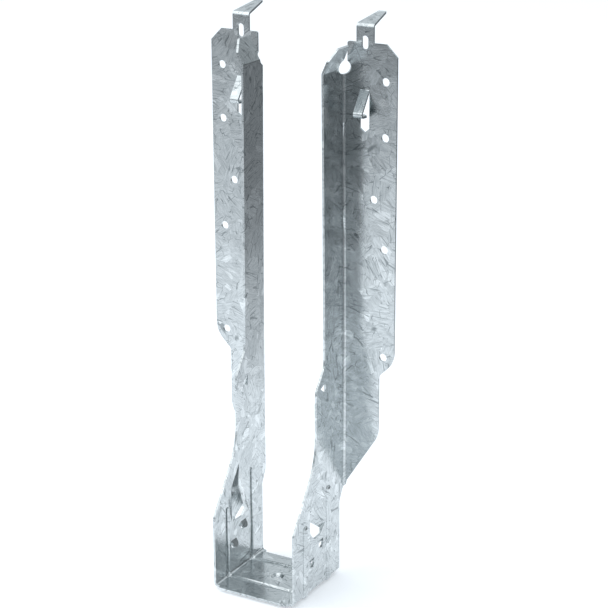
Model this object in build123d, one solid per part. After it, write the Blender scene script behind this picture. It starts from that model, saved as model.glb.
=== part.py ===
"""Face-mount joist hanger, folded from one blank of galvanised sheet.

The joist comes in from the front, along +Y, and sits on the seat between the two side panels. The header stands
behind the flanges. X is across the joist, Y runs along it and Z is up. The origin is where the middle of the
joist's lower edge meets the header: y = 0 is the header's face and z = 0 the seat's bearing face.
All lengths are in millimetres and all angles in degrees.
"""
import os
from math import cos, radians, sin, tan

from build123d import *

# Sheet and its folds
sheet = 1.2
fold_radius = 1.5

# Joist pocket and face flanges
pocket_width = 49.2
hanger_height = 301.6
flange_width = 30.6
flange_neck_width = 21.4
flange_chamfer = 6.4
flange_corner_radius = 1.0

# Side panels, measured forward from the header's face
strap_depth = 22.3
waist_depth = 32.0
foot_depth = 57.3
foot_setback = 6.0
strap_toe_in = 1.2

# Heights of the side panels and of the flanges' lower edge
shoulder_drop = 173.6
shoulder_length = 12.4
shoulder_radius = 10.0
waist_end_height = 76.3
waist_end_radius = 38.0
foot_height = 40.6
foot_corner_radius = 5.0
flange_shoulder_length = 9.2
flange_shoulder_radius = 14.0
flange_notch_radius = 4.0
neck_height = 83.6
neck_radius = 14.0
taper_height = 52.6
heel_height = 41.8
heel_radius = 4.0

# Seat
seat_lip = 2.2
lip_half_width = 21.2
lip_slant = 1.0
lip_corner_radius = 0.8
seat_heel_gap = 2.3
seat_hole_radius = 2.3
seat_dimple_radius = 3.8
seat_dimple_depth = 1.5

# Flared lead-in flaps at the top of the side panels
flap_crease_drop = 14.1
flap_height = 14.0
flap_angle = 24.4
flap_fold_radius = 4.0
flap_chamfer = 6.3
flap_rear_gap = 4.2
flap_rear_slant = 1.0
flap_corner_radius = 0.8
relief_half_width = 3.4
relief_half_height = 4.0
relief_rise = 0.4

# Tabs with their hook plates, above the flanges
tab_offset = 11.8
tab_width = 10.1
tab_fold_height = 8.7
hook_length = 18.9
hook_rise = 11.2
hook_tip_width = 4.4
hook_tip_radius = 0.5
hook_fold_radius = 0.7
slot_width = 3.8
slot_length = 7.2

# Face-nail holes
nail_hole_radius = 2.25
nail_edge_distance = 6.6
inner_nail_edge_distance = 13.1
nail_drops = (19.7, 49.4, 110.4, 171.4)
inner_nail_drop = 83.5

# Prongs folded out of the flanges
prong_drop = 25.3
prong_width = 5.2
prong_reach = 8.9
prong_fall = 12.1
prong_return = 8.1
prong_return_fall = 0.5
prong_tip_length = 2.8
prong_window_length = 20.0
prong_window_point = 2.3
prong_fold_radius = 0.9

# Stiffening beads around the seat
bead_inset = 12.8
bead_width = 4.2
bead_depth = 1.2
front_bead_height = 40.0
rear_bead_height = 54.5

# Nail-guide hoods in the side panels, as offsets from the middle of the foot
hood_apex_height = 63.5
hood_apex_shift = 0.6
hood_shoulder_height = 52.0
hood_shoulder_rear = 4.4
hood_shoulder_depth = 1.8
hood_front = 8.0
hood_rear = 9.2
hood_rear_height = 36.0
hood_crest_shift = -3.2
hood_crest_height = 42.0
hood_crest_depth = 4.6
hood_crest_radius = 2.2
hood_lip_height = 31.0
hood_window_height = 30.4
hood_window_corner_rise = 5.4
hood_window_front = 4.3
hood_window_rear = 2.6
hood_window_radius = 1.5

# Lanced grips below the hoods and the gap that the shears leave beside them
shear_gap = 0.2
grip_width = 5.4
grip_length = 5.2
grip_lift = 28.0
upper_grip_height = 27.2
upper_grip_shift = 4.2
lower_grip_height = 19.4
lower_grip_shift = -6.0

# Lanced teeth of the side panels, with the left one lower, steeper and bent out instead of in
tooth_drop = 6.6
tooth_tip_radius = 0.6
right_tooth_place = (-24.6, 117.4)
right_tooth_width = 6.2
right_tooth_tilt = 22.0
right_tooth_lift = 50.0
left_tooth_place = (-23.1, 111.3)
left_tooth_width = 6.8
left_tooth_tilt = 38.0
left_tooth_lift = -10.0

# Places that follow from the sizes above
overlap = 1.0
panel_in = pocket_width / 2
panel_out = panel_in + sheet
fold_end = panel_in + fold_radius + sheet
flange_edge = panel_out + flange_width
neck_edge = panel_out + flange_neck_width
foot_front = -foot_depth
foot_back = -foot_setback
foot_middle = (foot_front + foot_back) / 2
fold_top = fold_radius + sheet
shoulder_height = hanger_height - shoulder_drop
crease_height = hanger_height - flap_crease_drop
flap_start = crease_height - overlap
toe_in_slope = strap_toe_in / (hanger_height - shoulder_height)
strap_top_in = panel_in - strap_toe_in
flap_in = panel_in - toe_in_slope * (flap_start - shoulder_height)
tab_middle = panel_out + tab_offset
prong_top = hanger_height - prong_drop


def point_on(start, direction, distance):
    """Point at a distance from the start along a direction."""
    return start + direction * distance


def rounded_face(corners):
    """Flat face in the XY plane from corners given as (x, y, radius), with a tangent arc at each radius."""
    places = [Vector(x, y) for x, y, _ in corners]
    edges = []
    ends = []
    count = len(corners)
    for index, place in enumerate(places):
        arrive = place - places[index - 1]
        leave = places[(index + 1) % count] - place
        half_turn = radians(arrive.get_angle(leave)) / 2
        radius = corners[index][2]
        if radius:
            wall = 0.49 * min(arrive.length, leave.length)
            radius = min(radius, wall / tan(half_turn))
        reach = radius * tan(half_turn)
        first = point_on(place, arrive.normalized(), -reach)
        last = point_on(place, leave.normalized(), reach)
        ends.append((first, last))
        if radius:
            inward = (leave.normalized() - arrive.normalized()).normalized()
            middle = point_on(place, inward, radius / cos(half_turn) - radius)
            edges.append(ThreePointArc(first, middle, last))
    for index, (first, _) in enumerate(ends):
        edges.append(Line(ends[index - 1][1], first))
    return Face(Wire(edges))


def folded_section(path, side, radius=fold_radius):
    """Section of the sheet along a path of points on one of its faces.

    The sheet lies to the left of the path when side is 1 and to the right when it is -1. Each corner of the path
    is a fold with the given inside radius.
    """
    places = [Vector(x, y) for x, y in path]
    runs = [(b - a).normalized() for a, b in zip(places, places[1:])]
    normals = [Vector(-run.Y, run.X) * side for run in runs]
    near = [(places[0].X, places[0].Y, 0)]
    far_start = places[0] + normals[0] * sheet
    far = [(far_start.X, far_start.Y, 0)]
    for place, run, after, normal, normal_after in zip(places[1:], runs, runs[1:], normals, normals[1:]):
        turn = run.X * after.Y - run.Y * after.X
        inside = turn * side > 0
        corner = place + (normal + normal_after) * (sheet / (1 + normal.dot(normal_after)))
        near.append((place.X, place.Y, radius + sheet if inside else radius))
        far.append((corner.X, corner.Y, radius if inside else radius + sheet))
    far_end = places[-1] + normals[-1] * sheet
    near.append((places[-1].X, places[-1].Y, 0))
    far.append((far_end.X, far_end.Y, 0))
    return rounded_face(near + far[::-1])


def along_x(face, low, high):
    """Solid from a face drawn in Y and Z, between two places along X."""
    return extrude(Plane.YZ.offset(low) * face, amount=high - low, dir=(1, 0, 0))


def along_y(face, low, high):
    """Solid from a face drawn in X and Z, between two places along Y."""
    return extrude(Plane.XZ.offset(-low) * face, amount=high - low, dir=(0, 1, 0))


def along_z(face, low, high):
    """Solid from a face drawn in X and Y, between two heights."""
    return extrude(Plane.XY.offset(low) * face, amount=high - low, dir=(0, 0, 1))


def side_outline():
    """Outline of a side panel seen from the side, in Y and Z, with its fold to the flange."""
    heel_slope = (taper_height - heel_height) / foot_setback
    return rounded_face([
        (overlap, flap_start, 0),
        (-strap_depth, flap_start, 0),
        (-strap_depth, shoulder_height, shoulder_radius),
        (-waist_depth, shoulder_height - shoulder_length, shoulder_radius),
        (-waist_depth, waist_end_height, waist_end_radius),
        (foot_front, foot_height, foot_corner_radius),
        (foot_front, fold_top, 0),
        (foot_back, fold_top, 0),
        (foot_back, heel_height, heel_radius),
        (overlap, taper_height + heel_slope * overlap, 0),
    ])


def flange_outline():
    """Outline of the right-hand flange seen from the front, in X and Z, outside its fold to the side panel."""
    return rounded_face([
        (fold_end, hanger_height, flange_corner_radius),
        (fold_end, taper_height, 0),
        (neck_edge, neck_height, neck_radius),
        (neck_edge, shoulder_height - flange_shoulder_length, flange_notch_radius),
        (flange_edge, shoulder_height, flange_shoulder_radius),
        (flange_edge, hanger_height - flange_chamfer, 0),
        (flange_edge - flange_chamfer, hanger_height, 0),
    ])


def make_upright():
    """Right-hand side panel and flange, joined by their fold. Above the shoulder the panel leans inward."""
    section = folded_section([(panel_in, foot_front), (panel_in, 0), (flange_edge, 0)], -1)
    top_section = folded_section([(strap_top_in, foot_front), (strap_top_in, 0), (flange_edge, 0)], -1)
    lower = along_z(section, fold_top, shoulder_height)
    upper = loft([Plane.XY.offset(shoulder_height) * section, Plane.XY.offset(hanger_height) * top_section],
                 ruled=True)
    side = along_x(side_outline(), strap_top_in - overlap, fold_end)
    front = along_y(flange_outline(), -sheet - overlap, overlap)
    return (lower + upper) & (side + front)


def make_flap():
    """Lead-in flap at the top of the side panel, flared outward."""
    lean = radians(flap_angle)
    flap_top = crease_height + flap_height * cos(lean)
    path = [(flap_in, flap_start), (flap_in, crease_height), (flap_in + flap_height * sin(lean), flap_top)]
    section = folded_section(path, -1, flap_fold_radius)
    outline = rounded_face([
        (-strap_depth, flap_start, 0),
        (-strap_depth, flap_top - flap_chamfer, 0),
        (flap_chamfer - strap_depth, flap_top, 0),
        (-flap_rear_gap - flap_rear_slant, flap_top, flap_corner_radius),
        (-flap_rear_gap, flap_top - flap_chamfer, 0),
        (-flap_rear_gap, flap_start, 0),
    ])
    return along_y(section, -strap_depth, -flap_rear_gap) & along_x(outline, strap_top_in - overlap, flange_edge)


def relief_cut():
    """Oval relief at the top of the fold between the side panel and the flange."""
    diagonal = 2 ** -0.5
    fold_corner = flap_in + (fold_radius + sheet) - (fold_radius + sheet / 2) * diagonal
    place = (fold_corner, (fold_radius + sheet / 2) * diagonal - fold_top, crease_height + relief_rise)
    across = Plane(place, x_dir=(diagonal, diagonal, 0), z_dir=(diagonal, -diagonal, 0))
    return extrude(across * Ellipse(relief_half_width, relief_half_height), amount=4 * fold_top, both=True)


def make_tab():
    """Tab above the flange, with the hook plate that is folded back over the header's top."""
    rise = radians(hook_rise)
    fold_height = hanger_height + tab_fold_height
    end = (hook_length * cos(rise), fold_height + hook_length * sin(rise))
    section = folded_section([(0, hanger_height - overlap), (0, fold_height), end], 1, hook_fold_radius)
    plan = rounded_face([
        (tab_middle - tab_width / 2, -fold_top, 0),
        (tab_middle + tab_width / 2, -fold_top, 0),
        (tab_middle + tab_width / 2, 0, 0),
        (tab_middle + hook_tip_width / 2, end[0], hook_tip_radius),
        (tab_middle - hook_tip_width / 2, end[0], hook_tip_radius),
        (tab_middle - tab_width / 2, 0, 0),
    ])
    tab = along_x(section, tab_middle - tab_width / 2, tab_middle + tab_width / 2)
    return tab & along_z(plan, hanger_height - overlap, end[1] + sheet + overlap)


def tab_slot():
    """Slot across the foot of the tab, which makes the tab easy to fold."""
    slot = Pos(tab_middle, hanger_height) * SlotOverall(slot_length, slot_width, rotation=90)
    return along_y(slot.face(), -sheet - overlap, overlap)


def nail_holes():
    """Face-nail holes of one flange."""
    places = [(flange_edge - nail_edge_distance, hanger_height - drop) for drop in nail_drops]
    places.append((flange_edge - inner_nail_edge_distance, hanger_height - inner_nail_drop))
    holes = [Pos(x, z) * Circle(nail_hole_radius) for x, z in places]
    return [along_y(hole.face(), -sheet - overlap, overlap) for hole in holes]


def prong_window():
    """Window that the prong leaves in the flange, with a pointed lower end."""
    low = prong_top - prong_window_length
    half = prong_width / 2 + shear_gap
    outline = rounded_face([
        (tab_middle - half, prong_top, 0),
        (tab_middle - half, low, 0),
        (tab_middle, low - prong_window_point, 0),
        (tab_middle + half, low, 0),
        (tab_middle + half, prong_top, 0),
    ])
    return along_y(outline, -sheet - overlap, overlap)


def make_prong():
    """Prong folded forward out of the flange, then back to a point."""
    elbow = (-prong_reach, prong_top - prong_fall)
    tip = (prong_return - prong_reach, elbow[1] - prong_return_fall)
    section = folded_section([(0, prong_top + 2 * sheet), (0, prong_top), elbow, tip], -1, prong_fold_radius)
    half = prong_width / 2
    prong = along_x(section, tab_middle - half, tab_middle + half)
    for turn in (-1, 1):
        corner = rounded_face([
            (tab_middle, tip[0], 0),
            (tab_middle + turn * 2 * half, tip[0], 0),
            (tab_middle + turn * 2 * half, tip[0] - 2 * prong_tip_length, 0),
        ])
        prong -= along_z(corner, tip[1] - 2 * sheet, tip[1] + 2 * sheet)
    return prong


def make_seat():
    """Right-hand half of the seat with its fold up to the side panel."""
    section = folded_section([(0, 0), (panel_in, 0), (panel_in, fold_top + overlap)], -1)
    plan = rounded_face([
        (0, foot_front - seat_lip, 0),
        (lip_half_width, foot_front - seat_lip, lip_corner_radius),
        (lip_half_width + lip_slant, foot_front, 0),
        (panel_out + overlap, foot_front, 0),
        (panel_out + overlap, foot_back, 0),
        (lip_half_width + lip_slant, foot_back, 0),
        (lip_half_width, foot_back - seat_heel_gap, 0),
        (0, foot_back - seat_heel_gap, 0),
    ])
    seat = along_y(section, foot_front - seat_lip, foot_back) & along_z(plan, -sheet - overlap, fold_top)
    return seat


def bead_section(height):
    """Section of a bead in Y and Z: a round segment that bulges downward from a given height."""
    half = bead_width / 2
    bottom = ThreePointArc((-half, height), (0, height - bead_depth), (half, height))
    sides = Polyline((half, height), (half, height + sheet / 4), (-half, height + sheet / 4), (-half, height))
    return Face(Wire([bottom] + sides.edges()))


def make_bead(place, top, face_offset):
    """Half of a bead, from the middle of the seat up the side panel, with a domed end.

    A face offset of zero is the groove in the sheet's upper face, and one sheet is the ridge on its lower face.
    """
    wall = panel_in + face_offset
    radius = fold_radius + face_offset
    corner = Vector(panel_in - fold_radius, 0, fold_radius)
    bend_middle = corner + Vector(radius * 2 ** -0.5, 0, -radius * 2 ** -0.5)
    path = Wire([
        Line((0, 0, -face_offset), (corner.X, 0, -face_offset)),
        ThreePointArc((corner.X, 0, -face_offset), bend_middle, (wall, 0, corner.Z)),
        Line((wall, 0, corner.Z), (wall, 0, top)),
    ])
    run = sweep(Plane.YZ * bead_section(-face_offset), path=path)
    ball_radius = ((bead_width / 2) ** 2 + bead_depth ** 2) / (2 * bead_depth)
    ball = Pos(wall + bead_depth - ball_radius, 0, top) * Sphere(ball_radius)
    keep = Pos(wall - sheet / 4 + ball_radius, 0, top) * Box(2 * ball_radius, bead_width, bead_width)
    return Pos(0, place, 0) * (run + (ball & keep))


def hood_section(height, front, crest, rear, depth, base):
    """Section of the hood at one height: two flanks and a round crest, on a base line along the panel."""
    face = rounded_face([
        (base + overlap, front, 0),
        (base, front, 0),
        (base - depth, crest, hood_crest_radius),
        (base, rear, 0),
        (base + overlap, rear, 0),
    ])
    return Plane.XY.offset(height) * face


def hood_body(base):
    """Solid form of the nail-guide hood, pressed into the pocket from a base face of the panel."""
    low = hood_window_height
    front = foot_middle - hood_front
    crest = foot_middle + hood_crest_shift
    depth_slope = (hood_crest_depth - hood_shoulder_depth) / (hood_shoulder_height - hood_crest_height)
    low_depth = hood_shoulder_depth + depth_slope * (hood_shoulder_height - low)
    rear_slope = (hood_rear - hood_shoulder_rear) / (hood_shoulder_height - hood_rear_height)
    low_rear = foot_middle + hood_shoulder_rear + rear_slope * (hood_shoulder_height - low)
    shoulder_rear = foot_middle + hood_shoulder_rear
    apex = Vertex(base, foot_middle + hood_apex_shift, hood_apex_height)
    shoulder = hood_section(hood_shoulder_height, front, crest, shoulder_rear, hood_shoulder_depth, base)
    foot = hood_section(low, front, crest, low_rear, low_depth, base)
    return loft([foot, shoulder], ruled=True) + loft([shoulder, apex], ruled=True)


def hood_limit():
    """Region of the panel that the hood takes, in Y and Z, with the cut-off lower corners of its window."""
    front = foot_middle - 2 * hood_front
    rear = foot_middle + 2 * hood_rear
    corner_height = hood_window_height + hood_window_corner_rise
    middle = foot_middle + hood_apex_shift
    outline = rounded_face([
        (foot_middle - hood_front, corner_height, 0),
        (middle - hood_window_front, hood_window_height, hood_window_radius),
        (middle + hood_window_rear, hood_window_height, hood_window_radius),
        (foot_middle + hood_rear, corner_height, 0),
        (rear, corner_height, 0),
        (rear, hood_apex_height + overlap, 0),
        (front, hood_apex_height + overlap, 0),
        (front, corner_height, 0),
    ])
    return along_x(outline, 0, panel_out + 2 * overlap)


def below_lip():
    """Wedge below the hood's slanting lip, inside the pocket."""
    reach = 2 * hood_crest_depth
    slope = (hood_crest_height - hood_lip_height) / hood_crest_depth
    outline = rounded_face([
        (panel_in, hood_lip_height, 0),
        (panel_in - reach, hood_lip_height + slope * reach, 0),
        (panel_in - reach, hood_window_height - overlap, 0),
        (panel_in, hood_window_height - overlap, 0),
    ])
    return along_y(outline, foot_middle - 2 * hood_front, foot_middle + 2 * hood_rear)


def lanced(panel, outline, hinge, tilt, lift):
    """Cut a window with an outline below a hinge line in the side panel, and bend its tongue.

    A positive lift bends the tongue into the pocket, about the panel's outer face, and a negative one bends it
    out, about the inner face.
    """
    place = Location((0, hinge[0], hinge[1]), (tilt, 0, 0))
    window = place * along_x(outline, panel_in - overlap, panel_out + overlap)
    tongue_face = offset(outline, -shear_gap)
    tongue = place * (Pos(0, 0, shear_gap) * along_x(tongue_face, panel_in, panel_out))
    direction = Vector(0, cos(radians(tilt)), sin(radians(tilt)))
    hinge_face = panel_out if lift > 0 else panel_in
    hinge_axis = Axis((hinge_face, hinge[0], hinge[1]), direction)
    return panel - window + tongue.rotate(hinge_axis, lift)


def tooth_outline(width, tilt):
    """Triangle below the hinge line, with an upright rear side once it is tilted."""
    lean = radians(tilt)
    return rounded_face([
        (-width / 2, 0, 0),
        (width / 2 - tooth_drop * sin(lean), -tooth_drop * cos(lean), tooth_tip_radius),
        (width / 2, 0, 0),
    ])


def grip_outline():
    """Round-ended tongue below the hinge line."""
    half = grip_width / 2
    return rounded_face([(-half, 0, 0), (-half, -grip_length, half), (half, -grip_length, half), (half, 0, 0)])


def make_half():
    """Right-hand half of the hanger, without its tooth."""
    half = make_upright() + make_flap() + make_tab() + make_seat()
    half -= relief_cut()
    half -= tab_slot()
    for hole in nail_holes():
        half -= hole
    half -= prong_window()
    half += make_prong()
    half += hood_body(panel_in) - below_lip()
    half -= hood_body(panel_out) & hood_limit()
    for place, top in ((foot_front + bead_inset, front_bead_height), (foot_back - bead_inset, rear_bead_height)):
        half += make_bead(place, top, sheet)
        half -= make_bead(place, top, 0)
    for shift, height in ((upper_grip_shift, upper_grip_height), (lower_grip_shift, lower_grip_height)):
        half = lanced(half, grip_outline(), (foot_middle + shift, height), 0, grip_lift)
    return half


def seat_hole(hanger):
    """Nail hole in the middle of the seat, dimpled downward."""
    dimple_foot = -seat_dimple_depth
    shell = Cone(seat_dimple_radius, seat_hole_radius, seat_dimple_depth)
    outer = Pos(0, foot_middle, -sheet - seat_dimple_depth / 2) * (Rot(180, 0, 0) * shell)
    inner = Pos(0, foot_middle, dimple_foot / 2) * (Rot(180, 0, 0) * shell)
    bore = Pos(0, foot_middle, 0) * Cylinder(seat_hole_radius, 4 * (sheet + seat_dimple_depth))
    return hanger + outer - inner - bore


half_hanger = make_half()
right_tooth = tooth_outline(right_tooth_width, right_tooth_tilt)
left_tooth = tooth_outline(left_tooth_width, left_tooth_tilt)
right_half = lanced(half_hanger, right_tooth, right_tooth_place, right_tooth_tilt, right_tooth_lift)
left_half = lanced(half_hanger, left_tooth, left_tooth_place, left_tooth_tilt, left_tooth_lift)
joist_hanger = seat_hole(right_half + mirror(left_half, Plane.YZ))

os.makedirs("parts", exist_ok=True)
export_step(joist_hanger, "parts/joist_hanger.step")
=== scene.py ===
"""Looks of the joist hanger: one folded sheet of hot-dip galvanised steel on a white paper floor.

Lengths are in metres in the shared frame of the part: X across the joist, Y along it towards the header and
Z up, with the seat's bearing face at z = 0.
"""
from math import cos, pi, radians, sin

import bpy
from mathutils import Matrix, Vector


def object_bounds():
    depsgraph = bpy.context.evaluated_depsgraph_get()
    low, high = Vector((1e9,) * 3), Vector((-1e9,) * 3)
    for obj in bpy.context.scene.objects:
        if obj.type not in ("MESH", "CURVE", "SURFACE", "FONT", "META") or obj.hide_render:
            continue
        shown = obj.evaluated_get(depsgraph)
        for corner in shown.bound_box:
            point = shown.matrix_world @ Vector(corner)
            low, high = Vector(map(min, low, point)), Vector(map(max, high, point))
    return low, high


bl_info = {
    "name": "Galvanised Joist Hanger",
    "version": (1, 0, 0),
    "blender": (4, 5, 0),
    "location": "View3D > Sidebar > Joist Hanger",
    "description": "Finishes a folded joist hanger as hot-dip galvanised sheet and sets it on a pale studio floor",
    "category": "Material",
}

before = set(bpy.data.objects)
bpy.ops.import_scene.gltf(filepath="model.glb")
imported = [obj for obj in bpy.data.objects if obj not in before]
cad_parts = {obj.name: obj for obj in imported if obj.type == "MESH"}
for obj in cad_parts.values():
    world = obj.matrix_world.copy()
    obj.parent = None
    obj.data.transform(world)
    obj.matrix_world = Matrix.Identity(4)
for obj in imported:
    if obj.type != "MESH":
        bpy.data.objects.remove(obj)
cad_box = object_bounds()

MM = 0.001
HANGER = "joist_hanger"
IMAGE_SIZE = 608
SENSOR_WIDTH = 36.0

# Where a pattern's value turns into a tone or a mark, and the tones, from 0 for dull to 1 for bright zinc
BRANCH_VALUES = (0.38, 0.62)
BRANCH_TONES = (0.28, 0.68)
GRAIN_TONES = (-0.09, 0.09)
SHARD_VALUES = (0.91, 0.92)
SHARD_TONE = 0.35
SPECK_VALUES = (0.72, 0.76)

# Waves in the borders of the grains: their size, and their depth as a share of a grain
WAVE_SIZE = 3 * MM
WAVE_DEPTH = 0.3

# Short hairlines lie this many branch widths apart. Of the long and the short ones, this much is kept.
SHORT_SPACING = 5.0
LONG_KEPT = 0.45
SHORT_KEPT = 0.25

# The paper on the floor, in metres and along the photograph's line of sight. Its half width beside the hanger grows
# by the spread for each metre away from the camera. Each pair says where a fade of painted shade, at the left first
# painted light, begins and ends: past the right edge, within the left edge, and beyond the hanger. The metal
# reflects these painted tones.
PAPER_HALF_WIDTH = 0.2
PAPER_SPREAD = 0.16
RIGHT_EDGE = (-0.03, 0.02)
RIGHT_FADE = (0.02, 0.36)
LEFT_EDGE = (-0.2, -0.1)
LEFT_FADE = (-0.45, -0.22)
NEAR_EDGE = (-0.3, -0.08)
NEAR_FADE = (-0.78, -0.4)


def linear(colour):
    """Linear RGBA of an sRGB hex colour."""
    parts = [int(colour[place:place + 2], 16) / 255 for place in (1, 3, 5)]
    return tuple(part / 12.92 if part <= 0.04045 else ((part + 0.055) / 1.055) ** 2.4 for part in parts) + (1.0,)


class HangerFinish(bpy.types.PropertyGroup):
    """Colours and sizes of the galvanised finish."""

    light_zinc: bpy.props.FloatVectorProperty(
        name="Light Zinc", description="Colour of the brightest spangle grains",
        default=linear("#E8ECED"), size=4, min=0.0, max=1.0, subtype="COLOR")
    dark_zinc: bpy.props.FloatVectorProperty(
        name="Dark Zinc", description="Colour of the dullest branches of the spangle",
        default=linear("#A8AEB0"), size=4, min=0.0, max=1.0, subtype="COLOR")
    line_zinc: bpy.props.FloatVectorProperty(
        name="Line Zinc", description="Colour of the hairlines and specks between the crystals",
        default=linear("#5F686B"), size=4, min=0.0, max=1.0, subtype="COLOR")
    grain_size: bpy.props.FloatProperty(
        name="Spangle Size", description="Width of a typical spangle grain",
        default=11 * MM, min=2 * MM, max=60 * MM, unit="LENGTH")
    branch_width: bpy.props.FloatProperty(
        name="Branch Width", description="Width of a branch of a zinc crystal",
        default=0.55 * MM, min=0.1 * MM, max=10 * MM, unit="LENGTH")
    branch_stretch: bpy.props.FloatProperty(
        name="Branch Stretch", description="Length of a branch of a zinc crystal in widths",
        default=9.0, min=1.0, max=50.0)
    shard_width: bpy.props.FloatProperty(
        name="Shard Width", description="Width of the small pale crystals",
        default=3.5 * MM, min=0.5 * MM, max=30 * MM, unit="LENGTH")
    shard_length: bpy.props.FloatProperty(
        name="Shard Length", description="Length of the small pale crystals",
        default=9 * MM, min=0.5 * MM, max=60 * MM, unit="LENGTH")
    line_width: bpy.props.FloatProperty(
        name="Hairline Width", description="Width of the dark hairlines between the crystals",
        default=0.17 * MM, min=0.05 * MM, max=2 * MM, unit="LENGTH")
    line_spacing: bpy.props.FloatProperty(
        name="Hairline Spacing", description="Typical distance between the long hairlines",
        default=6 * MM, min=1 * MM, max=60 * MM, unit="LENGTH")
    speck_size: bpy.props.FloatProperty(
        name="Speck Size", description="Typical distance between the places where a dark speck can lie",
        default=1.1 * MM, min=0.2 * MM, max=20 * MM, unit="LENGTH")
    mark_strength: bpy.props.FloatProperty(
        name="Mark Strength", description="How strongly the hairlines and specks show",
        default=0.62, min=0.0, max=1.0, subtype="FACTOR")
    grain_tilt: bpy.props.FloatProperty(
        name="Spangle Tilt", description="How far the crystal faces lean out of the sheet's plane",
        default=radians(1.1), min=0.0, max=radians(30), unit="ROTATION")
    relief_depth: bpy.props.FloatProperty(
        name="Relief Depth", description="Height of the branches over the sheet",
        default=0.03 * MM, min=0.0, max=1 * MM, unit="LENGTH")
    dull_roughness: bpy.props.FloatProperty(
        name="Dull Roughness", description="Roughness of the dullest branches",
        default=0.24, min=0.0, max=1.0, subtype="FACTOR")
    bright_roughness: bpy.props.FloatProperty(
        name="Bright Roughness", description="Roughness of the brightest grains",
        default=0.16, min=0.0, max=1.0, subtype="FACTOR")


class HangerStage(bpy.types.PropertyGroup):
    """The studio round the hanger and the camera's place."""

    floor_colour: bpy.props.FloatVectorProperty(
        name="Floor Colour", description="Colour of the paper that the hanger stands on",
        default=linear("#F3F5F8"), size=4, min=0.0, max=1.0, subtype="COLOR")
    paper_glow: bpy.props.FloatProperty(
        name="Paper Glow", description="Share of white that the paper shows of itself, without any lamp",
        default=0.31, min=0.0, max=1.0, subtype="FACTOR")
    # These shares paint light and shade into the floor's colour round the paper, for the metal to reflect: darker to
    # the right, to the left and by the camera, lighter just past the left edge.
    right_paper_shade: bpy.props.FloatProperty(
        name="Right Paper", description="Brightness just past the paper's right edge, as a share of the paper's",
        default=0.72, min=0.05, max=1.1, subtype="FACTOR")
    right_floor_shade: bpy.props.FloatProperty(
        name="Right Floor", description="Brightness of the floor far to the right, as a share of the paper's",
        default=0.22, min=0.0, max=1.1, subtype="FACTOR")
    left_paper_light: bpy.props.FloatProperty(
        name="Left Paper", description="Brightness just past the paper's left edge, as a share of the paper's",
        default=1.1, min=0.05, max=1.1, subtype="FACTOR")
    left_floor_shade: bpy.props.FloatProperty(
        name="Left Floor", description="Brightness of the floor far to the left, as a share of the paper's",
        default=0.72, min=0.0, max=1.1, subtype="FACTOR")
    near_paper_shade: bpy.props.FloatProperty(
        name="Near Paper", description="Brightness just in front of the picture, as a share of the paper's",
        default=0.92, min=0.05, max=1.1, subtype="FACTOR")
    near_floor_shade: bpy.props.FloatProperty(
        name="Near Floor", description="Brightness of the floor by the camera, as a share of the paper's",
        default=0.2, min=0.0, max=1.1, subtype="FACTOR")
    dark_room: bpy.props.FloatVectorProperty(
        name="Dark Side", description="Colour of the studio's wall behind on the right",
        default=linear("#54585A"), size=4, min=0.0, max=1.0, subtype="COLOR")
    light_room: bpy.props.FloatVectorProperty(
        name="Light Side", description="Colour of the studio's other walls and its ceiling",
        default=linear("#E0E8ED"), size=4, min=0.0, max=1.0, subtype="COLOR")
    key_power: bpy.props.FloatProperty(
        name="Key Power", description="Power of the large soft lamp over the hanger",
        default=21.0, min=0.0, max=500.0, subtype="POWER", unit="POWER")
    camera_azimuth: bpy.props.FloatProperty(
        name="Azimuth", description="Camera's turn towards +X from straight ahead",
        default=radians(29.67), unit="ROTATION")
    camera_elevation: bpy.props.FloatProperty(
        name="Elevation", description="Camera's height angle above the horizon",
        default=radians(18.663), unit="ROTATION")
    camera_roll: bpy.props.FloatProperty(
        name="Roll", description="Camera's turn about its own line of sight",
        default=radians(-0.233), unit="ROTATION")
    camera_distance: bpy.props.FloatProperty(
        name="Distance", description="Distance from the camera to the point it looks at",
        default=1032.19 * MM, min=0.1, unit="LENGTH")
    camera_height: bpy.props.FloatProperty(
        name="Target Height", description="Height of the point that the camera looks at",
        default=152.58 * MM, unit="LENGTH")
    focal_pixels: bpy.props.FloatProperty(
        name="Focal Length", description="Focal length in pixels of the 608 pixel wide picture",
        default=1870.12, min=1.0, subtype="PIXEL")


def put(tree, kind, settings=None, **links):
    """Add a node with its settings, and link or set its inputs.

    An input goes by its name, with underscores for spaces, or by its number, as in i0. It is linked to a socket or
    to the first output in use of a node, or takes a value.
    """
    node = tree.nodes.new(kind)
    for name, value in (settings or {}).items():
        setattr(node, name, value)
    for name, value in links.items():
        key = int(name[1:]) if name[0] == "i" and name[1:].isdigit() else name.replace("_", " ")
        if isinstance(value, bpy.types.Node):
            value = next(output for output in value.outputs if output.enabled)
        if isinstance(value, bpy.types.NodeSocket):
            tree.links.new(value, node.inputs[key])
        else:
            node.inputs[key].default_value = value
    return node


def hairlines(tree, place, cell, width, kept):
    """Thin lines along the borders of bent cells, as a mask from 0 to 1.

    The bends are nearly as large as a cell. A finer noise breaks the lines up, and a larger kept value leaves more
    of them.
    """
    bend = put(tree, "ShaderNodeTexNoise", Vector=place, Scale=0.6 / cell, Detail=2.0)
    moved = put(tree, "ShaderNodeVectorMath", {"operation": "MULTIPLY_ADD"},
                i0=bend.outputs["Color"], i1=(cell * 0.9,) * 3, i2=place)
    border = put(tree, "ShaderNodeTexVoronoi", {"feature": "DISTANCE_TO_EDGE"}, Vector=moved, Scale=1 / cell)
    line = put(tree, "ShaderNodeMapRange", Value=border, From_Min=0.3 * width / cell, From_Max=width / cell,
               To_Min=1.0, To_Max=0.0)
    breaks = put(tree, "ShaderNodeTexNoise", Vector=moved, Scale=1.3 / cell, Detail=1.0)
    parts = put(tree, "ShaderNodeMapRange", Value=breaks, From_Min=0.62 - kept / 4, From_Max=0.68 - kept / 4)
    return put(tree, "ShaderNodeMath", {"operation": "MULTIPLY"}, i0=line, i1=parts)


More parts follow.
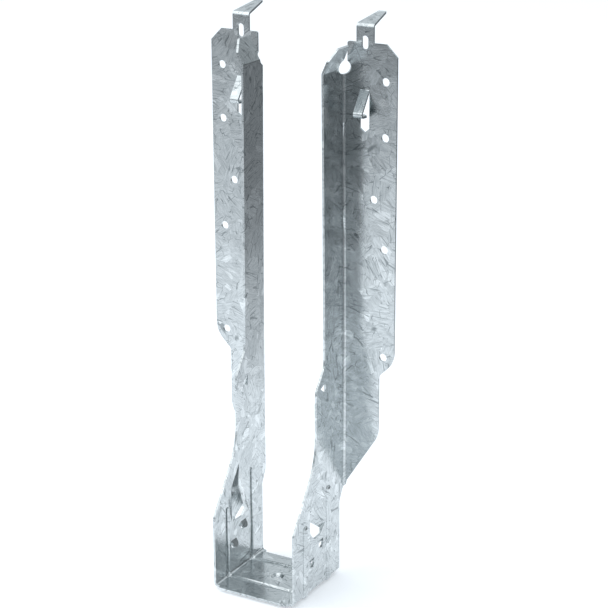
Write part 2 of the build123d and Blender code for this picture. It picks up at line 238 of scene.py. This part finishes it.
def galvanised_sheet(finish):
    """Hot-dip galvanised steel sheet.

    The zinc froze from the melt into large flat crystals, the spangle. Each grain has its own fine branches and a
    slight tilt, so neighbouring grains catch the light a little differently, and a few small ones stand out pale.
    Fine dark hairlines and specks lie between them. The real branches and hairlines are a few hundredths of a
    millimetre wide, and are drawn coarser here so that they show.
    """
    material = bpy.data.materials.new("Hot-Dip Galvanised Steel")
    material.use_nodes = True
    tree = material.node_tree
    tree.nodes.clear()
    place = put(tree, "ShaderNodeTexCoord").outputs["Object"]

    # The grain that a point belongs to, with slightly ragged borders
    shake = put(tree, "ShaderNodeTexNoise", Vector=place, Scale=1 / WAVE_SIZE, Detail=2.0)
    ragged = put(tree, "ShaderNodeVectorMath", {"operation": "MULTIPLY_ADD"},
                 i0=shake.outputs["Color"], i1=(finish.grain_size * WAVE_DEPTH,) * 3, i2=place)
    grain = put(tree, "ShaderNodeTexVoronoi", {"feature": "F1"}, Vector=ragged,
                Scale=1 / finish.grain_size).outputs["Color"]
    grain_value = put(tree, "ShaderNodeSeparateColor", Color=grain).outputs["Red"]

    # Each grain grew its branches along its own direction
    turn = put(tree, "ShaderNodeVectorMath", {"operation": "SCALE"}, i0=grain, Scale=2 * pi)
    grown = put(tree, "ShaderNodeVectorRotate", {"rotation_type": "EULER_XYZ"}, Vector=place, Rotation=turn)
    across, along = 1 / finish.branch_width, 1 / (finish.branch_width * finish.branch_stretch)
    branch_place = put(tree, "ShaderNodeVectorMath", {"operation": "MULTIPLY"}, i0=grown, i1=(across, along, along))
    branches = put(tree, "ShaderNodeTexNoise", Vector=branch_place, Scale=1.0, Detail=4.0, Roughness=0.62,
                   Distortion=0.25)

    # Small pale shards are a few narrow cells of a second, stretched pattern
    across, along = 1 / finish.shard_width, 1 / finish.shard_length
    shard_place = put(tree, "ShaderNodeVectorMath", {"operation": "MULTIPLY"}, i0=grown, i1=(across, along, along))
    shard = put(tree, "ShaderNodeTexVoronoi", {"feature": "F1"}, Vector=shard_place, Scale=1.0).outputs["Color"]
    shard_value = put(tree, "ShaderNodeSeparateColor", Color=shard).outputs["Red"]

    branch_tone = put(tree, "ShaderNodeMapRange", Value=branches, From_Min=BRANCH_VALUES[0],
                      From_Max=BRANCH_VALUES[1], To_Min=BRANCH_TONES[0], To_Max=BRANCH_TONES[1])
    grain_tone = put(tree, "ShaderNodeMapRange", Value=grain_value, To_Min=GRAIN_TONES[0], To_Max=GRAIN_TONES[1])
    shard_tone = put(tree, "ShaderNodeMapRange", Value=shard_value, From_Min=SHARD_VALUES[0],
                     From_Max=SHARD_VALUES[1], To_Max=SHARD_TONE)
    tone = put(tree, "ShaderNodeMath", {"operation": "ADD"}, i0=branch_tone, i1=grain_tone)
    tone = put(tree, "ShaderNodeMath", {"operation": "ADD", "use_clamp": True}, i0=tone, i1=shard_tone)
    zinc = put(tree, "ShaderNodeMix", {"data_type": "RGBA"}, i0=tone,
               i6=tuple(finish.dark_zinc), i7=tuple(finish.light_zinc))

    # Long hairlines run across the sheet, short ones along the branches, and specks lie all over
    noise = put(tree, "ShaderNodeTexNoise", Vector=place, Scale=1 / finish.speck_size, Detail=1.0)
    marks = put(tree, "ShaderNodeMapRange", Value=noise, From_Min=SPECK_VALUES[0], From_Max=SPECK_VALUES[1])
    short_width = finish.line_width / finish.branch_width
    for lines in (hairlines(tree, place, finish.line_spacing, finish.line_width, LONG_KEPT),
                  hairlines(tree, branch_place, SHORT_SPACING, short_width, SHORT_KEPT)):
        marks = put(tree, "ShaderNodeMath", {"operation": "MAXIMUM"}, i0=marks, i1=lines)
    marks = put(tree, "ShaderNodeMath", {"operation": "MULTIPLY"}, i0=marks, i1=finish.mark_strength)
    colour = put(tree, "ShaderNodeMix", {"data_type": "RGBA"}, i0=marks, i6=zinc, i7=tuple(finish.line_zinc))
    roughness = put(tree, "ShaderNodeMapRange", Value=tone, To_Min=finish.dull_roughness,
                    To_Max=finish.bright_roughness)

    # Each grain leans a little out of the sheet's plane
    sheet_normal = put(tree, "ShaderNodeNewGeometry").outputs["Normal"]
    lean = put(tree, "ShaderNodeVectorMath", {"operation": "SUBTRACT"}, i0=grain, i1=(0.5,) * 3)
    leaning = put(tree, "ShaderNodeVectorMath", {"operation": "MULTIPLY_ADD"}, i0=lean,
                  i1=(2 * sin(finish.grain_tilt),) * 3, i2=sheet_normal)
    grain_normal = put(tree, "ShaderNodeVectorMath", {"operation": "NORMALIZE"}, i0=leaning)
    relief = put(tree, "ShaderNodeBump", Strength=0.9, Distance=finish.relief_depth, Height=branches,
                 Normal=grain_normal)

    shader = put(tree, "ShaderNodeBsdfPrincipled", Base_Color=colour, Metallic=1.0, Roughness=roughness,
                 Normal=relief)
    put(tree, "ShaderNodeOutputMaterial", Surface=shader)
    return material


def floor_paper(stage):
    """Matt white paper sweep, with painted light and shade round it.

    The paper widens away from the camera and fills its view. Its colour darkens as painted shade to the right, to
    the left and towards the camera, after a band of painted light just past its left edge, and the bright metal
    reflects these painted tones. It gives a plain white ground, which bright metal shows too, with the hanger's soft
    shadow.
    """
    material = bpy.data.materials.new("Matt White Paper")
    material.use_nodes = True
    tree = material.node_tree
    tree.nodes.clear()
    place = put(tree, "ShaderNodeTexCoord").outputs["Object"]
    turned = put(tree, "ShaderNodeVectorRotate", {"rotation_type": "Z_AXIS"}, Vector=place,
                 Angle=-stage.camera_azimuth)
    axes = put(tree, "ShaderNodeSeparateXYZ", Vector=turned)
    sideways, beyond = axes.outputs["X"], axes.outputs["Y"]
    half_width = put(tree, "ShaderNodeMath", {"operation": "MULTIPLY_ADD"}, i0=beyond, i1=PAPER_SPREAD,
                     i2=PAPER_HALF_WIDTH)
    past_right = put(tree, "ShaderNodeMath", {"operation": "SUBTRACT"}, i0=sideways, i1=half_width)
    within_left = put(tree, "ShaderNodeMath", {"operation": "ADD"}, i0=sideways, i1=half_width)

    # How each fade of painted shade or light joins the brightness so far, the distance that it follows, its range
    # and its two shares
    fades = (
        ("MULTIPLY", past_right, RIGHT_EDGE, 1.0, stage.right_paper_shade),
        ("MULTIPLY", past_right, RIGHT_FADE, 1.0, stage.right_floor_shade / stage.right_paper_shade),
        ("MULTIPLY", within_left, LEFT_EDGE, stage.left_paper_light, 1.0),
        ("MULTIPLY", within_left, LEFT_FADE, stage.left_floor_shade / stage.left_paper_light, 1.0),
        ("MINIMUM", beyond, NEAR_FADE, stage.near_floor_shade, 1.0),
        ("MULTIPLY", beyond, NEAR_EDGE, stage.near_paper_shade, 1.0))
    share = 1.0
    for operation, distance, (low, high), start, end in fades:
        fade = put(tree, "ShaderNodeMapRange", Value=distance, From_Min=low, From_Max=high, To_Min=start, To_Max=end)
        share = put(tree, "ShaderNodeMath", {"operation": operation}, i0=share, i1=fade)
    colour = put(tree, "ShaderNodeVectorMath", {"operation": "SCALE"}, i0=tuple(stage.floor_colour)[:3], Scale=share)

    paper = put(tree, "ShaderNodeBsdfDiffuse", Color=colour)
    path = put(tree, "ShaderNodeLightPath")
    seen = path.outputs["Is Camera Ray"]
    for ray in ("Is Glossy Ray", "Is Transmission Ray"):
        seen = put(tree, "ShaderNodeMath", {"operation": "MAXIMUM"}, i0=seen, i1=path.outputs[ray])
    strength = put(tree, "ShaderNodeMath", {"operation": "MULTIPLY"}, i0=seen, i1=stage.paper_glow)
    glow = put(tree, "ShaderNodeEmission", Color=colour, Strength=strength)
    glowing_paper = put(tree, "ShaderNodeAddShader", i0=paper, i1=glow)
    put(tree, "ShaderNodeOutputMaterial", Surface=glowing_paper)
    return material


class HANGER_OT_sheet(bpy.types.Operator):
    """Finish the folded sheet as galvanised steel"""

    bl_idname = "hanger.sheet"
    bl_label = "Galvanise Sheet"

    def execute(self, context):
        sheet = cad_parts[HANGER]
        material = galvanised_sheet(context.scene.hanger_finish)
        for slot in sheet.material_slots:
            slot.material = material
        return {"FINISHED"}


class HANGER_OT_stage(bpy.types.Operator):
    """Add the paper floor, the studio's walls, the soft lamp and the camera"""

    bl_idname = "hanger.stage"
    bl_label = "Add Stage"

    floor_size = 8.0
    floor_gap = 0.1 * MM
    lamp_size = 3.0
    lamp_place = (-0.6, -0.9, 1.7)
    lamp_target = (0, 0, 0.1)
    # Directions to the studio's pale sides, its ceiling and its front left, with the values of the dot product
    # between which the dark wall gives way to them
    pale_sides = (((-0.3, 0, 1), (-0.2, 0.5)), ((-0.5, -0.86, 0), (-0.8, 0.0)))

    def add_floor(self, stage):
        """Studio floor with the paper sweep on it, just under the hanger's feet."""
        bpy.ops.object.select_all(action="DESELECT")
        bpy.ops.mesh.primitive_plane_add(size=self.floor_size)
        floor = bpy.context.active_object
        floor.name = "floor"
        for vertex in floor.data.vertices:
            vertex.co.z = cad_box[0][2] - self.floor_gap
        floor.data.materials.append(floor_paper(stage))

    def add_lamp(self, stage):
        """Large square soft lamp above the hanger, in front on the left, that faces it."""
        bpy.ops.object.light_add(type="AREA", location=self.lamp_place)
        lamp = bpy.context.active_object
        lamp.name = "key_lamp"
        lamp.data.energy = stage.key_power
        lamp.data.size = self.lamp_size
        toward = Vector(self.lamp_target) - Vector(self.lamp_place)
        lamp.rotation_euler = toward.to_track_quat("-Z", "Y").to_euler()

    def add_room(self, stage):
        """Light from the studio's walls: pale all round, with one dark wall behind on the right."""
        world = bpy.data.worlds.new("Studio Room")
        world.use_nodes = True
        tree = world.node_tree
        tree.nodes.clear()
        direction = put(tree, "ShaderNodeTexCoord").outputs["Generated"]
        share = 0.0
        for toward, (low, high) in self.pale_sides:
            along = put(tree, "ShaderNodeVectorMath", {"operation": "DOT_PRODUCT"}, i0=direction, i1=toward)
            pale = put(tree, "ShaderNodeMapRange", Value=along, From_Min=low, From_Max=high)
            share = put(tree, "ShaderNodeMath", {"operation": "MAXIMUM"}, i0=share, i1=pale)
        colour = put(tree, "ShaderNodeMix", {"data_type": "RGBA"}, i0=share,
                     i6=tuple(stage.dark_room), i7=tuple(stage.light_room))
        walls = put(tree, "ShaderNodeBackground", Color=colour, Strength=1.0)
        put(tree, "ShaderNodeOutputWorld", Surface=walls)
        bpy.context.scene.world = world

    def add_camera(self, stage):
        """Camera at the photograph's place, with its picture plane turned by the roll."""
        azimuth, elevation, roll = stage.camera_azimuth, stage.camera_elevation, stage.camera_roll
        forward = Vector((-sin(azimuth) * cos(elevation), cos(azimuth) * cos(elevation), -sin(elevation)))
        level = Vector((cos(azimuth), sin(azimuth), 0))
        upright = level.cross(forward)
        right = level * cos(roll) + upright * sin(roll)
        up = upright * cos(roll) - level * sin(roll)
        place = Vector((0, 0, stage.camera_height)) - forward * stage.camera_distance
        axes = Matrix((right, up, -forward)).transposed().to_4x4()
        bpy.ops.object.camera_add()
        camera = bpy.context.active_object
        camera.matrix_world = Matrix.Translation(place) @ axes
        camera.data.sensor_width = SENSOR_WIDTH
        camera.data.lens = stage.focal_pixels * SENSOR_WIDTH / IMAGE_SIZE
        bpy.context.scene.camera = camera

    def execute(self, context):
        stage = context.scene.hanger_stage
        self.add_floor(stage)
        self.add_room(stage)
        self.add_lamp(stage)
        self.add_camera(stage)
        context.scene.view_settings.view_transform = "Standard"
        return {"FINISHED"}


class HANGER_PT_panel(bpy.types.Panel):
    """Settings and buttons of the joist hanger"""

    bl_label = "Joist Hanger"
    bl_idname = "HANGER_PT_panel"
    bl_space_type = "VIEW_3D"
    bl_region_type = "UI"
    bl_category = "Joist Hanger"

    def draw(self, context):
        for settings in (context.scene.hanger_finish, context.scene.hanger_stage):
            for name in settings.__annotations__:
                self.layout.prop(settings, name)
        for operator in OPERATORS:
            self.layout.operator(operator.bl_idname)


OPERATORS = (HANGER_OT_sheet, HANGER_OT_stage)
CLASSES = (HangerFinish, HangerStage) + OPERATORS + (HANGER_PT_panel,)


def register():
    """Make the settings, the operators and the panel known."""
    for cls in CLASSES:
        bpy.utils.register_class(cls)
    bpy.types.Scene.hanger_finish = bpy.props.PointerProperty(type=HangerFinish)
    bpy.types.Scene.hanger_stage = bpy.props.PointerProperty(type=HangerStage)


def unregister():
    """Take the settings, the operators and the panel away again."""
    del bpy.types.Scene.hanger_stage
    del bpy.types.Scene.hanger_finish
    for cls in reversed(CLASSES):
        bpy.utils.unregister_class(cls)


def main():
    """Finish the hanger and set up the studio."""
    register()
    bpy.ops.hanger.sheet()
    bpy.ops.hanger.stage()


if __name__ == "__main__":
    main()
